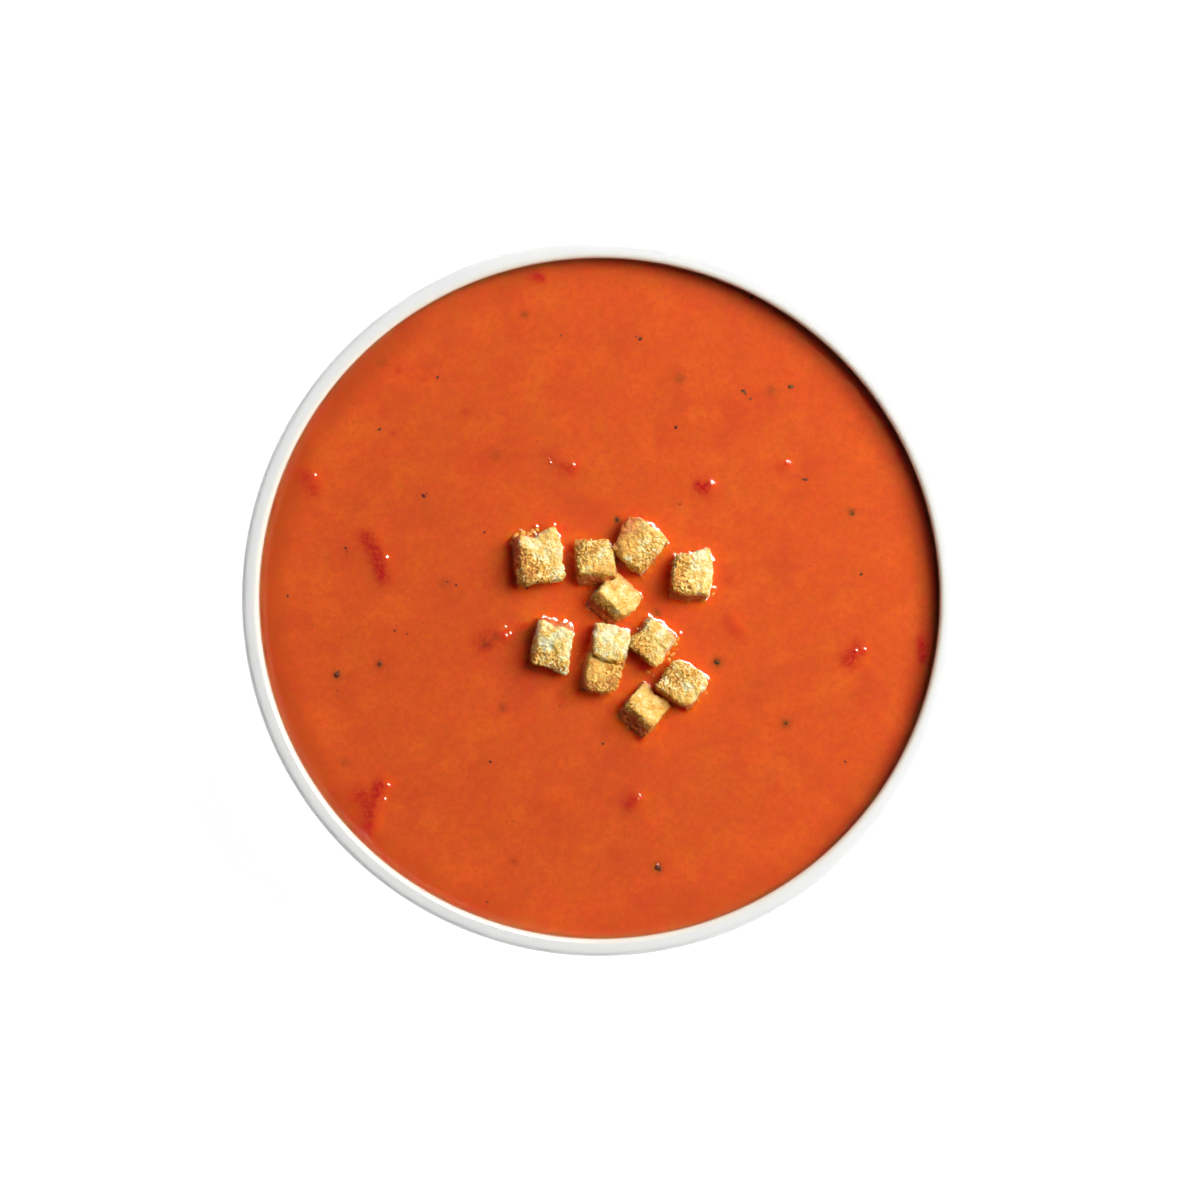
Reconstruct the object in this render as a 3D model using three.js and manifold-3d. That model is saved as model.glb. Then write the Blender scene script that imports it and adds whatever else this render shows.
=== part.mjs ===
// A round, upright-sided white soup bowl on a foot ring, filled almost to the lip with creamy tomato
// soup. Eleven small bread croutons float in the middle, about a third sunk. Soft pieces of tomato, flakes
// of black pepper and dried herb lie in the soup's surface.
// Millimetres, +Z up. The origin is the centre of the foot ring, on the table.

import * as THREE from "three";
import { mergeVertices } from "three/addons/utils/BufferGeometryUtils.js";
import Module from "manifold-3d";

// Bowl
const RIM_RADIUS = 85;
const BOWL_HEIGHT = 60;
const LIP_THICKNESS = 4.1;
const BASE_THICKNESS = 5;
const BASE_CLEARANCE = 4; // from the table to the underside inside the foot ring
const WALL_FULLNESS = 2.5; // the exponent of the wall's superellipse: 2 is round, more is squarer
const FOOT_RADIUS = 42;
const FOOT_TAPER = 1.2;
const FOOT_WIDTH = 5;
const FOOT_EDGE = 0.8; // the bevel round the foot's two edges
const ROUND_STEPS = 64;
const WALL_STEPS = 9;
const EDGE_STEPS = 3; // steps across the underside and across the soup's raised edge
const LIP_STEPS = 6; // even, so that one corner is the very top of the lip
const LIP_FULLNESS = 3.4; // 2 is a round lip, more is flatter on top

// Soup
const HEADROOM = 5.5; // from the soup's surface up to the top of the lip
const GAP = 0.3; // between pieces that touch
const WALL_RISE = 0.2; // how far the soup climbs at the wall
const WALL_RISE_REACH = 2.6;

// Croutons
const CUBE_STEPS = 5; // faces along each edge of a crouton
const CORNER_ROUND = 0.22; // share of a crouton's half size that its edges are rounded by
const LUMP_HEIGHT = 0.36;
const LUMP_LENGTH = 3.4;
const CRAG_HEIGHT = 0.2;
const CRAG_SEED = 20;

const LIP_RADIUS = LIP_THICKNESS / 2;
const SHOULDER = BOWL_HEIGHT - LIP_RADIUS; // where the round lip meets the wall
const SOUP_LEVEL = BOWL_HEIGHT - HEADROOM;
const INNER_RADIUS = RIM_RADIUS - LIP_THICKNESS;
const OUTER_DEPTH = SHOULDER - BASE_CLEARANCE;
const INNER_DEPTH = OUTER_DEPTH - BASE_THICKNESS;

// Each crouton: where its middle is in plan, how far that middle is above the soup, its three sizes, its
// turn about the vertical and its lean about its own X and Y, in degrees. Torn lists the spots where the
// bread sticks out or is broken away: where, as shares of the half sizes, and how far out.
const CROUTONS = [
  {
    at: [-14.7, 9.3], lift: 1.9, size: [10.6, 11.6, 8.8], turn: 5, lean: [-5, 13],
    torn: [
      { spot: [0.5, 1, 0.5], out: 3.0 },
      { spot: [-0.1, 1, 0.7], out: -1.4 },
      { spot: [1, 0.9, 0.5], out: -0.6 },
    ],
  },
  {
    at: [-1.2, 8.6], lift: 1.6, size: [9.0, 9.2, 8.6], turn: 6, lean: [-22, 3],
    torn: [{ spot: [1, 1, 0.4], out: -1.2 }],
  },
  {
    at: [9.4, 12.5], lift: 1.3, size: [9.8, 10.4, 8.6], turn: -40, lean: [-6, -5],
    torn: [
      { spot: [-1, 0.35, 0.5], out: 2.0 },
      { spot: [-1, 1, 0.4], out: -1.0 },
    ],
  },
  {
    at: [21.8, 5.0], lift: 2.0, size: [9.4, 9.8, 8.8], turn: -4, lean: [-15, 6],
    torn: [
      { spot: [0.45, 1, 0.5], out: 2.8 },
      { spot: [1, 0.8, 0.6], out: -1.0 },
      { spot: [-1, -1, 0.2], out: -1.2 },
    ],
  },
  {
    at: [3.4, -0.7], lift: 0.8, size: [9.2, 8.6, 9.2], turn: -44, lean: [-36, 2],
    torn: [{ spot: [1, -1, 0.6], out: -1.2 }],
  },
  {
    at: [-11.3, -11.0], lift: 2.2, size: [8.6, 10.4, 8.8], turn: -12, lean: [8, 8],
    torn: [
      { spot: [1, 1, 0.5], out: -1.2 },
      { spot: [0.8, -1, 0.3], out: 1.4 },
      { spot: [-1, 0.9, 0.5], out: 0.8 },
    ],
  },
  {
    at: [2.5, -10.9], lift: 3.0, size: [8.8, 8.6, 7.2], turn: -10, lean: [-8, 8],
    torn: [
      { spot: [1, -1, 0.6], out: -2.6 },
      { spot: [1, 1, 0.6], out: -1.4 },
      { spot: [-1, -1, 0.6], out: -0.8 },
    ],
  },
  {
    at: [0.4, -18.0], lift: 1.0, size: [8.8, 9.2, 8.2], turn: -8, lean: [-6, 14],
    torn: [
      { spot: [-1, -1, 0.4], out: -1.4 },
      { spot: [1, -1, 0.4], out: -3.2 },
    ],
  },
  {
    at: [12.3, -10.5], lift: 1.4, size: [8.8, 9.0, 8.6], turn: -38, lean: [-6, 6],
    torn: [
      { spot: [-1, 0.2, 0.5], out: -1.0 },
      { spot: [1, 0.2, 0.5], out: -0.8 },
      { spot: [-0.2, -1, 0.5], out: -0.8 },
    ],
  },
  {
    at: [19.5, -20.4], lift: 1.5, size: [9.6, 9.2, 8.6], turn: -34, lean: [-8, -5],
    torn: [
      { spot: [1, -1, 0.4], out: -1.4 },
      { spot: [1, 0.6, 0.4], out: 1.4 },
      { spot: [1, 1, 0.4], out: -0.8 },
      { spot: [-1, 1, 0.4], out: -1.4 },
    ],
  },
  {
    at: [10.4, -26.8], lift: 0.8, size: [8.8, 8.2, 8.8], turn: -44, lean: [-33, -2],
    torn: [
      { spot: [-1, 1, 0.5], out: 1.4 },
      { spot: [-0.1, 1, 0.6], out: -2.0 },
    ],
  },
];
const TORN_REACH = 2.0; // how far round a torn spot the bread is out of line

// Soft pieces of tomato that show in the surface: where they are, how long, wide and high they stand, and
// their turn in degrees.
const TOMATO_PIECES = [
  { at: [-52.6, 10.8], size: [8.2, 3.6, 0.8], turn: 112 },
  { at: [-53.4, -49.1], size: [11.0, 4.2, 1.1], turn: 72 },
  { at: [-24.8, -8.7], size: [6.4, 5.0, 0.8], turn: 30 },
  { at: [-68.4, 27.6], size: [6.0, 3.4, 0.5], turn: 60 },
  { at: [-7.6, 32.4], size: [5.4, 4.0, 0.9], turn: -20 },
  { at: [-13.9, 77.0], size: [2.6, 2.0, 0.6], turn: 0 },
  { at: [25.3, 26.6], size: [4.6, 3.2, 0.8], turn: 40 },
  { at: [44.4, 31.8], size: [4.2, 3.0, 0.6], turn: 15 },
  { at: [61.8, -13.3], size: [7.2, 3.8, 0.8], turn: 48 },
  { at: [77.2, -12.6], size: [3.2, 2.0, 0.5], turn: 80 },
  { at: [32.6, -6.6], size: [3.6, 2.6, 0.6], turn: 60 },
  { at: [8.6, -47.6], size: [4.4, 3.2, 0.9], turn: 70 },
  { at: [-11.0, -48.4], size: [5.0, 3.0, 0.4], turn: 20 },
];

// Flakes of pepper and dried herb that lie in the surface: where they are, their length and width, and turn.
const FLAKE_HEIGHT = 0.35;
const FLAKES = [
  { at: [9.6, 62.0], size: [1.7, 1.4], turn: 20 },
  { at: [18.3, 40.8], size: [1.5, 1.2], turn: 60 },
  { at: [36.3, 71.2], size: [1.5, 1.3], turn: 80 },
  { at: [45.8, 50.3], size: [2.2, 1.4], turn: -25 },
  { at: [34.4, 49.1], size: [2.0, 1.5], turn: -50 },
  { at: [48.9, 28.4], size: [2.4, 1.0], turn: -5 },
  { at: [60.1, 20.4], size: [1.9, 1.5], turn: 40 },
  { at: [28.2, -15.2], size: [2.2, 1.5], turn: -10 },
  { at: [44.4, -30.0], size: [2.1, 1.8], turn: 35 },
  { at: [14.0, -64.1], size: [2.3, 1.7], turn: -20 },
  { at: [-62.6, -18.2], size: [2.0, 1.8], turn: 45 },
  { at: [-52.4, -15.6], size: [1.7, 1.5], turn: 90 },
  { at: [-52.4, 40.4], size: [1.5, 1.4], turn: 10 },
  { at: [-41.9, 24.5], size: [1.7, 1.3], turn: -45 },
  { at: [-60.5, 12.0], size: [1.1, 1.0], turn: 0 },
  { at: [-17.2, -2.6], size: [1.6, 1.2], turn: 15 },
  { at: [-38.6, 52.6], size: [1.2, 1.0], turn: 70 },
  { at: [-26.0, -38.6], size: [1.4, 1.1], turn: -30 },
];

const wasm = await Module();
wasm.setup();

// A closed geometry as a solid that can be joined and cut.
function solidOf(geometry) {
  const bare = geometry.clone();
  bare.deleteAttribute("normal");
  bare.deleteAttribute("uv");
  const merged = mergeVertices(bare, 1e-4);
  return new wasm.Manifold(
    new wasm.Mesh({
      numProp: 3,
      vertProperties: new Float32Array(merged.attributes.position.array),
      triVerts: new Uint32Array(merged.index.array),
    }),
  );
}

function geometryOf(solid) {
  const mesh = solid.getMesh();
  const geometry = new THREE.BufferGeometry();
  geometry.setAttribute("position", new THREE.BufferAttribute(mesh.vertProperties, 3));
  geometry.setIndex(new THREE.BufferAttribute(mesh.triVerts, 1));
  const flat = geometry.toNonIndexed();
  flat.computeVertexNormals();
  return flat;
}

// A radius and height on a superellipse that hangs from the shoulder. A share of 0 is the shoulder, and 1
// is the middle of the bottom.
function wallPoint(radius, depth, share) {
  const angle = (share * Math.PI) / 2;
  const power = 2 / WALL_FULLNESS;
  const across = Math.max(Math.cos(angle), 0) ** power;
  return new THREE.Vector2(share === 1 ? 0 : radius * across, SHOULDER - depth * Math.sin(angle) ** power);
}

const shareAtHeight = (depth, height) =>
  Math.asin(((SHOULDER - height) / depth) ** (WALL_FULLNESS / 2)) / (Math.PI / 2);

const shareAtRadius = (radius, at) => Math.acos((at / radius) ** (WALL_FULLNESS / 2)) / (Math.PI / 2);

// Even steps from one share to another, both ends included.
const steps = (from, to, count) =>
  Array.from({ length: count + 1 }, (_, i) => from + ((to - from) * i) / count);

// The shares at which the bowl's inner wall and the soup beside it both have a corner.
const FILL_SHARE = shareAtHeight(INNER_DEPTH, SOUP_LEVEL + WALL_RISE);
const INNER_SHARES = steps(FILL_SHARE, 1, WALL_STEPS);

// A profile of radius and height, turned about +Z.
function turned(profile) {
  return new THREE.LatheGeometry(profile, ROUND_STEPS).rotateX(Math.PI / 2);
}

function bowlGeometry() {
  const footShare = shareAtRadius(RIM_RADIUS, FOOT_RADIUS);
  const footInner = FOOT_RADIUS - FOOT_TAPER - FOOT_WIDTH;
  const underShare = shareAtRadius(RIM_RADIUS, footInner + FOOT_TAPER / 2);
  const underside = steps(1, underShare, EDGE_STEPS).map((s) => wallPoint(RIM_RADIUS, OUTER_DEPTH, s));
  const foot = [
    new THREE.Vector2(footInner, FOOT_EDGE),
    new THREE.Vector2(footInner + FOOT_EDGE, 0),
    new THREE.Vector2(FOOT_RADIUS - FOOT_TAPER - FOOT_EDGE, 0),
    new THREE.Vector2(FOOT_RADIUS - FOOT_TAPER, FOOT_EDGE),
  ];
  const outside = steps(footShare, 0, WALL_STEPS).map((s) => wallPoint(RIM_RADIUS, OUTER_DEPTH, s));
  const lipMiddle = new THREE.Vector2(RIM_RADIUS - LIP_RADIUS, SHOULDER);
  const full = (share) => Math.sign(share) * Math.abs(share) ** (2 / LIP_FULLNESS);
  const lip = steps(0, Math.PI, LIP_STEPS)
    .slice(1, -1)
    .map((a) => new THREE.Vector2(full(Math.cos(a)), full(Math.sin(a))).multiplyScalar(LIP_RADIUS).add(lipMiddle));
  const inside = [0, ...INNER_SHARES].map((s) => wallPoint(INNER_RADIUS, INNER_DEPTH, s));
  return turned([...underside, ...foot, ...outside, ...lip, ...inside]);
}

// The soup as it fills the bowl. It climbs a little where it wets the wall.
function soupBodyGeometry() {
  const side = INNER_SHARES.map((s) => wallPoint(INNER_RADIUS - GAP, INNER_DEPTH - GAP, s));
  const edge = side[0];
  const fall = steps(0, 1, EDGE_STEPS).map((s) => {
    const radius = edge.x - WALL_RISE_REACH * s;
    return new THREE.Vector2(radius, SOUP_LEVEL + WALL_RISE * (1 - s) ** 3);
  });
  const middle = [new THREE.Vector2(edge.x / 2, SOUP_LEVEL), new THREE.Vector2(0, SOUP_LEVEL)];
  return turned([...side.slice(1).reverse(), ...fall, ...middle]);
}

// A repeatable number from 0 to 1 for each place.
function speckle(x, y, z) {
  const wave = Math.sin(x * 12.9898 + y * 78.233 + z * 37.719 + CRAG_SEED) * 43758.5453;
  return wave - Math.floor(wave);
}

// A bread cube about its own middle: rounded edges, soft lumps, crags where the crumb broke, and torn spots.
// Grow moves its skin outwards, for the hollow that it sits in.
function croutonSolid({ size, torn }, index, grow = 0) {
  const half = size.map((s) => s / 2);
  const round = CORNER_ROUND * Math.min(...half);
  const box = new THREE.BoxGeometry(...size, CUBE_STEPS, CUBE_STEPS, CUBE_STEPS);
  box.deleteAttribute("normal");
  box.deleteAttribute("uv");
  const cube = mergeVertices(box);
  const place = cube.attributes.position;
  for (let i = 0; i < place.count; i++) {
    const p = new THREE.Vector3().fromBufferAttribute(place, i);
    const core = new THREE.Vector3(
      ...p.toArray().map((c, k) => THREE.MathUtils.clamp(c, round - half[k], half[k] - round)),
    );
    const out = p.clone().sub(core).normalize();
    const wave = (a, b, c) => Math.sin((a + index * 5) / LUMP_LENGTH + Math.sin(b / LUMP_LENGTH) * 2 + c);
    const lump = (wave(p.x, p.y, 0) + wave(p.y, p.z, 2) + wave(p.z, p.x, 4)) / 3;
    const crag = speckle(p.x + index, p.y, p.z) - 1;
    const skin = round + LUMP_HEIGHT * lump + CRAG_HEIGHT * crag + grow;
    const skinPoint = core.addScaledVector(out, skin);
    for (const tear of torn) {
      const middle = new THREE.Vector3(...tear.spot.map((share, k) => share * half[k]));
      const near = Math.exp(-((p.distanceTo(middle) / TORN_REACH) ** 2));
      skinPoint.addScaledVector(middle.normalize(), tear.out * near);
    }
    place.setXYZ(i, ...skinPoint.toArray());
  }
  return solidOf(cube);
}

function placeCrouton(object, crouton) {
  const [leanX, leanY] = crouton.lean.map(THREE.MathUtils.degToRad);
  object.position.set(...crouton.at, SOUP_LEVEL + crouton.lift);
  object.rotation.set(leanX, leanY, THREE.MathUtils.degToRad(crouton.turn), "ZXY");
  object.updateMatrixWorld(true);
  return object;
}

// A solid moved by an object's place, or back from it.
const moved = (solid, matrix) => solid.transform(matrix.elements);

// A flattened round lump that is fused to the surface.
function lumpSolid({ at, size, turn }, height, detail) {
  const lump = new THREE.IcosahedronGeometry(1, detail);
  lump.scale(size[0] / 2, size[1] / 2, height * 2);
  lump.rotateZ(THREE.MathUtils.degToRad(turn));
  lump.translate(...at, SOUP_LEVEL - height);
  return solidOf(lump);
}

const material = (colour, roughness) =>
  new THREE.MeshStandardMaterial({ color: colour, roughness, metalness: 0 });
const GLAZE = material(0xf1f1ef, 0.18);
const SOUP = material(0xdc561f, 0.35);
const BREAD = material(0xe3b867, 0.85);

const part = new THREE.Group();

function addPiece(name, geometry, look) {
  const mesh = new THREE.Mesh(geometry, look);
  mesh.name = name;
  part.add(mesh);
  return mesh;
}

addPiece("bowl", bowlGeometry(), GLAZE);

// The croutons, each cut back where a higher one leans over it.
const HIGHEST_FIRST = CROUTONS.map((crouton, index) => ({ crouton, index })).sort(
  (a, b) => b.crouton.lift - a.crouton.lift,
);
const hollows = [];
for (const { crouton, index } of HIGHEST_FIRST) {
  const name = "crouton_" + String(index + 1).padStart(2, "0");
  const mesh = placeCrouton(addPiece(name, new THREE.BufferGeometry(), BREAD), crouton);
  const back = mesh.matrixWorld.clone().invert();
  let bread = croutonSolid(crouton, index);
  for (const hollow of hollows) bread = bread.subtract(moved(hollow, back));
  mesh.geometry = geometryOf(bread);
  hollows.push(moved(croutonSolid(crouton, index, GAP), mesh.matrixWorld));
}

// The soup, with what lies in its surface fused on, cut round the croutons.
let soup = solidOf(soupBodyGeometry());
for (const piece of TOMATO_PIECES) soup = soup.add(lumpSolid(piece, piece.size[2], 1));
for (const flake of FLAKES) soup = soup.add(lumpSolid(flake, FLAKE_HEIGHT, 0));
for (const hollow of hollows) soup = soup.subtract(hollow);
addPiece("soup", geometryOf(soup), SOUP);

export default part;
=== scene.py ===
"""Tomato soup in a white bowl with bread croutons: the finished surfaces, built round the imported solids.
Metres, +Z up. The origin is the middle of the bowl's foot ring, on the table."""

import math

import bmesh
import bpy
import numpy as np
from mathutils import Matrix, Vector
from mathutils.geometry import delaunay_2d_cdt
from mathutils.kdtree import KDTree


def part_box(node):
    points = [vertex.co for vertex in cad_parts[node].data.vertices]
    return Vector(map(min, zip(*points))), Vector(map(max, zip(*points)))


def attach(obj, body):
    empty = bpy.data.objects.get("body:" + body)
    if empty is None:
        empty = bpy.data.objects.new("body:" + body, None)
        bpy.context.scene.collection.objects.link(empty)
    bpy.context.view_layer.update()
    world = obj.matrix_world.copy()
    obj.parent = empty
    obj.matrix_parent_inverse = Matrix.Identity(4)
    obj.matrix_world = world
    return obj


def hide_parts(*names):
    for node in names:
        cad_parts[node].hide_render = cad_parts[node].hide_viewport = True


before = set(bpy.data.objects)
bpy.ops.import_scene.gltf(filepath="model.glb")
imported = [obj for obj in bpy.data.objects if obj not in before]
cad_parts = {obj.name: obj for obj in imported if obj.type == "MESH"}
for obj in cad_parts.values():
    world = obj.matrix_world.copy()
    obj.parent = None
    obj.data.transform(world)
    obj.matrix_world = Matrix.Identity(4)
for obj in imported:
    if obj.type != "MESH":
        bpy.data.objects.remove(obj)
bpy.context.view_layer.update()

# ---------------------------------------------------------------------------------------- the bowl
# A stoneware soup bowl, 170 mm across, under a thick white gloss glaze. The ring that it stands on was
# wiped bare before firing. It is one profile turned about the upright axis. Where the soup has wetted the
# wall, a thin orange film is left on the glaze.

MM = 0.001
LIP_THICKNESS = 4.1 * MM
LIP_FULLNESS = 3.4  # 2 is a round lip, more is flatter on top
BASE_THICKNESS = 5 * MM
BASE_CLEARANCE = 4 * MM
WALL_FULLNESS = 2.5  # the exponent of the wall's superellipse
FOOT_RADIUS = 42 * MM
FOOT_TAPER = 1.2 * MM
FOOT_WIDTH = 5 * MM
FOOT_EDGE = 0.8 * MM
FOOT_FILLET = 1.8 * MM
BOWL_STEPS = 288
WALL_STEPS = 56
LIP_STEPS = 20
FILLET_STEPS = 5

HEADROOM = 5.5 * MM  # from the soup up to the top of the lip
FILM_HEIGHT = 1.3 * MM  # how far the film of soup reaches up the wall

bowl_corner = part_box("bowl")[1]
rim_radius = bowl_corner.x
shoulder = bowl_corner.z - LIP_THICKNESS / 2
inner_radius = rim_radius - LIP_THICKNESS
outer_depth = shoulder - BASE_CLEARANCE
inner_depth = outer_depth - BASE_THICKNESS
soup_level = bowl_corner.z - HEADROOM


def wall_point(radius, depth, share):
    """Radius and height on the superellipse that hangs from the shoulder. Share 0 is the shoulder and
    share 1 is the middle of the bottom."""
    angle = share * math.pi / 2
    power = 2 / WALL_FULLNESS
    across = 0 if share == 1 else math.cos(angle) ** power
    return Vector((radius * across, shoulder - depth * math.sin(angle) ** power))


def share_at_radius(radius, at):
    return math.acos((at / radius) ** (WALL_FULLNESS / 2)) / (math.pi / 2)


def share_at_height(depth, height):
    return math.asin(((shoulder - height) / depth) ** (WALL_FULLNESS / 2)) / (math.pi / 2)


def wall(radius, depth, start, end, steps):
    return [wall_point(radius, depth, share) for share in np.linspace(start, end, steps + 1)]


def fuller(share):
    """A cosine or sine made flatter, for the lip's section."""
    return math.copysign(abs(share) ** (2 / LIP_FULLNESS), share)


def rounded(before, corner, after, cut):
    """The points that round a corner off, from one side of it to the other."""
    start = corner + (before - corner).normalized() * cut
    end = corner + (after - corner).normalized() * cut
    shares = np.linspace(0, 1, FILLET_STEPS + 1)
    return [start * (1 - t) ** 2 + corner * (2 * t * (1 - t)) + end * t**2 for t in shares]


def turned_mesh(name, profile, steps):
    """A closed mesh from a profile of radius and height that starts and ends on the axis."""
    angles = np.arange(steps) * math.tau / steps
    rings = [[(r * math.cos(a), r * math.sin(a), z) for a in angles] for r, z in profile[1:-1]]
    corners = [(0, 0, profile[0].y)] + [corner for ring in rings for corner in ring]
    corners.append((0, 0, profile[-1].y))
    last = len(corners) - 1
    nexts = [(i, (i + 1) % steps) for i in range(steps)]
    faces = [(0, 1 + j, 1 + i) for i, j in nexts]
    for k in range(len(rings) - 1):
        low = 1 + k * steps
        faces += [(low + i, low + j, low + steps + j, low + steps + i) for i, j in nexts]
    faces += [(last, last - steps + i, last - steps + j) for i, j in nexts]
    mesh = bpy.data.meshes.new(name)
    mesh.from_pydata(corners, [], faces)
    mesh.shade_smooth()
    return mesh


def new_piece(name, mesh, *nodes, slot):
    """An object of the part, on its one body, that stands for the named solids."""
    piece = bpy.data.objects.new(name, mesh)
    bpy.context.scene.collection.objects.link(piece)
    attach(piece, "root")
    if nodes:
        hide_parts(*nodes)
    return piece


class Field:
    """A number that varies over a surface or through space. Arithmetic on it adds the Math nodes that
    work it out."""

    def __init__(self, tree, socket):
        self.tree = tree
        self.socket = socket

    def math(self, operation, *others):
        node = self.tree.nodes.new("ShaderNodeMath")
        node.operation = operation
        for place, value in enumerate((self, *others)):
            join(self.tree, node.inputs[place], value)
        return Field(self.tree, node.outputs[0])

    def __add__(self, other):
        return self.math("ADD", other)

    def __sub__(self, other):
        return self.math("SUBTRACT", other)

    def __mul__(self, other):
        return self.math("MULTIPLY", other)

    def __truediv__(self, other):
        return self.math("DIVIDE", other)

    def ramp(self, start, end, low=0.0, high=1.0):
        """Low at start, high at end, and a smooth step between them."""
        node = add(self.tree, "ShaderNodeMapRange", {"Value": self, "To Min": low, "To Max": high})
        node.interpolation_type = "SMOOTHSTEP"
        join(self.tree, node.inputs["From Min"], start)
        join(self.tree, node.inputs["From Max"], end)
        return Field(self.tree, node.outputs["Result"])


def join(tree, socket, value):
    """Links a field or a socket to an input, or sets the input to a plain value."""
    if isinstance(value, Field):
        value = value.socket
    if isinstance(value, bpy.types.NodeSocket):
        tree.links.new(value, socket)
    else:
        socket.default_value = value


def add(tree, kind, inputs=None, **settings):
    """A new node with its settings, and its inputs joined or set."""
    node = tree.nodes.new(kind)
    for name, value in settings.items():
        setattr(node, name, value)
    for name, value in (inputs or {}).items():
        join(tree, node.inputs[name], value)
    return node


def noise(tree, where, size, detail=2.0, roughness=0.5):
    """A cloudy pattern round 0.5 with soft spots of about that size."""
    inputs = {"Vector": where, "Scale": 1 / size, "Detail": detail, "Roughness": roughness}
    return Field(tree, add(tree, "ShaderNodeTexNoise", inputs).outputs["Fac"])


def ripple(tree, where, size, detail=2.0):
    """The same kind of pattern round 0."""
    return noise(tree, where, size, detail) - 0.5


def parts(tree, socket):
    """The three numbers of a vector or a colour."""
    return [Field(tree, output) for output in add(tree, "ShaderNodeSeparateXYZ", {"Vector": socket}).outputs]


def cells(tree, where, size, output="Distance"):
    """Random points about that far apart. Distance is 0 at each and counts in units of the size."""
    node = add(tree, "ShaderNodeTexVoronoi", {"Vector": where, "Scale": 1 / size})
    return node.outputs[output]


def blend(tree, share, first, second):
    node = add(tree, "ShaderNodeMix", data_type="RGBA")
    join(tree, node.inputs["Factor"], share)
    for label, colour in (("A", first), ("B", second)):
        socket = next(s for s in node.inputs if s.name == label and s.type == "RGBA")
        join(tree, socket, (*colour, 1) if isinstance(colour, tuple) else colour)
    return next(s for s in node.outputs if s.type == "RGBA")


def new_material(name, **settings):
    """A material with one Principled shader. Returns it, its tree, the shader, and object coordinates."""
    material = bpy.data.materials.new(name)
    material.use_nodes = True
    tree = material.node_tree
    shader = tree.nodes["Principled BSDF"]
    for label, value in settings.items():
        shader.inputs[label.replace("_", " ")].default_value = value
    where = add(tree, "ShaderNodeTexCoord").outputs["Object"]
    return material, tree, shader, where


def place_of(tree, where):
    """Height above the table, and distance from the upright axis."""
    x, y, z = parts(tree, where)
    return z, (x * x + y * y).math("SQRT")


def bump(tree, shader, height, depth):
    node = add(tree, "ShaderNodeBump", {"Height": height, "Distance": depth})
    join(tree, shader.inputs["Normal"], node.outputs["Normal"])


GLAZE = (0.84, 0.84, 0.83)
SOUP_BOUNCE_GLAZE = (0.84, 0.78, 0.64)  # painted warm bounce light from the soup, on the wall inside, above it
POOLED_GLAZE = (0.79, 0.80, 0.795)
BARE_CLAY = (0.60, 0.53, 0.44)
SOUP_FILM = (0.80, 0.27, 0.045)


def glaze_material():
    material, tree, shader, where = new_material(
        "white gloss glaze", Roughness=0.16, Coat_Weight=0.6, Coat_Roughness=0.04
    )
    height, radius = place_of(tree, where)
    # Clouds where the glaze pooled, painted warm bounce light inside near the soup, and the ragged soup
    # film.
    pooled = noise(tree, where, 14 * MM).ramp(0.45, 0.75, 0, 0.5)
    colour = blend(tree, pooled, GLAZE, POOLED_GLAZE)
    upper = height.ramp(soup_level - 4 * MM, soup_level - 3 * MM)
    painted_bounce = radius.ramp(inner_radius + 1.8 * MM, inner_radius + 0.2 * MM, 0, 0.8)
    colour = blend(tree, painted_bounce * upper, colour, SOUP_BOUNCE_GLAZE)
    ragged = noise(tree, where, 4 * MM, 3) * FILM_HEIGHT
    film = (height - ragged).ramp(soup_level, soup_level + FILM_HEIGHT * 0.5, 0.8, 0)
    inside = radius.ramp(inner_radius + 0.2 * MM, inner_radius + 0.1 * MM)
    colour = blend(tree, film * inside * upper, colour, SOUP_FILM)
    # The bare ring of the foot.
    grit = noise(tree, where, 0.5 * MM, 4)
    bare = (height - grit * (0.5 * MM)).ramp(0.2 * MM, 0.5 * MM, 1, 0)
    join(tree, shader.inputs["Base Color"], blend(tree, bare, colour, BARE_CLAY))
    join(tree, shader.inputs["Roughness"], bare.ramp(0, 1, 0.16, 0.85))
    join(tree, shader.inputs["Coat Weight"], bare.ramp(0, 1, 0.6, 0))
    bump(tree, shader, noise(tree, where, 5 * MM) + bare * grit, 0.05 * MM)
    return material


foot_inner = FOOT_RADIUS - FOOT_TAPER - FOOT_WIDTH
underside = wall(
    rim_radius, outer_depth, 1, share_at_radius(rim_radius, foot_inner + FOOT_TAPER / 2), WALL_STEPS // 2
)
outside = wall(rim_radius, outer_depth, share_at_radius(rim_radius, FOOT_RADIUS), 0, WALL_STEPS)
foot_low = [Vector((foot_inner, 0)), Vector((FOOT_RADIUS - FOOT_TAPER, 0))]
foot = (
    rounded(underside[-2], underside[-1], foot_low[0], FOOT_FILLET)
    + rounded(underside[-1], foot_low[0], foot_low[1], FOOT_EDGE)
    + rounded(foot_low[0], foot_low[1], outside[0], FOOT_EDGE)
    + rounded(foot_low[1], outside[0], outside[1], FOOT_FILLET)
)
lip_middle = Vector((rim_radius - LIP_THICKNESS / 2, shoulder))
lip = [
    lip_middle + Vector((fuller(math.cos(a)), fuller(math.sin(a)))) * (LIP_THICKNESS / 2)
    for a in np.linspace(0, math.pi, LIP_STEPS + 1)[1:-1]
]
inside = wall(inner_radius, inner_depth, 0, 1, WALL_STEPS)
clear_of_foot = [p for p in outside if (p - outside[0]).length > FOOT_FILLET]
clear_under = [p for p in underside if (p - underside[-1]).length > FOOT_FILLET]
bowl_profile = clear_under + foot + clear_of_foot + lip + inside

bowl = new_piece("glazed_bowl", turned_mesh("glazed_bowl", bowl_profile, BOWL_STEPS), "bowl", slot="glaze")
bowl.data.materials.append(glaze_material())
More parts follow.
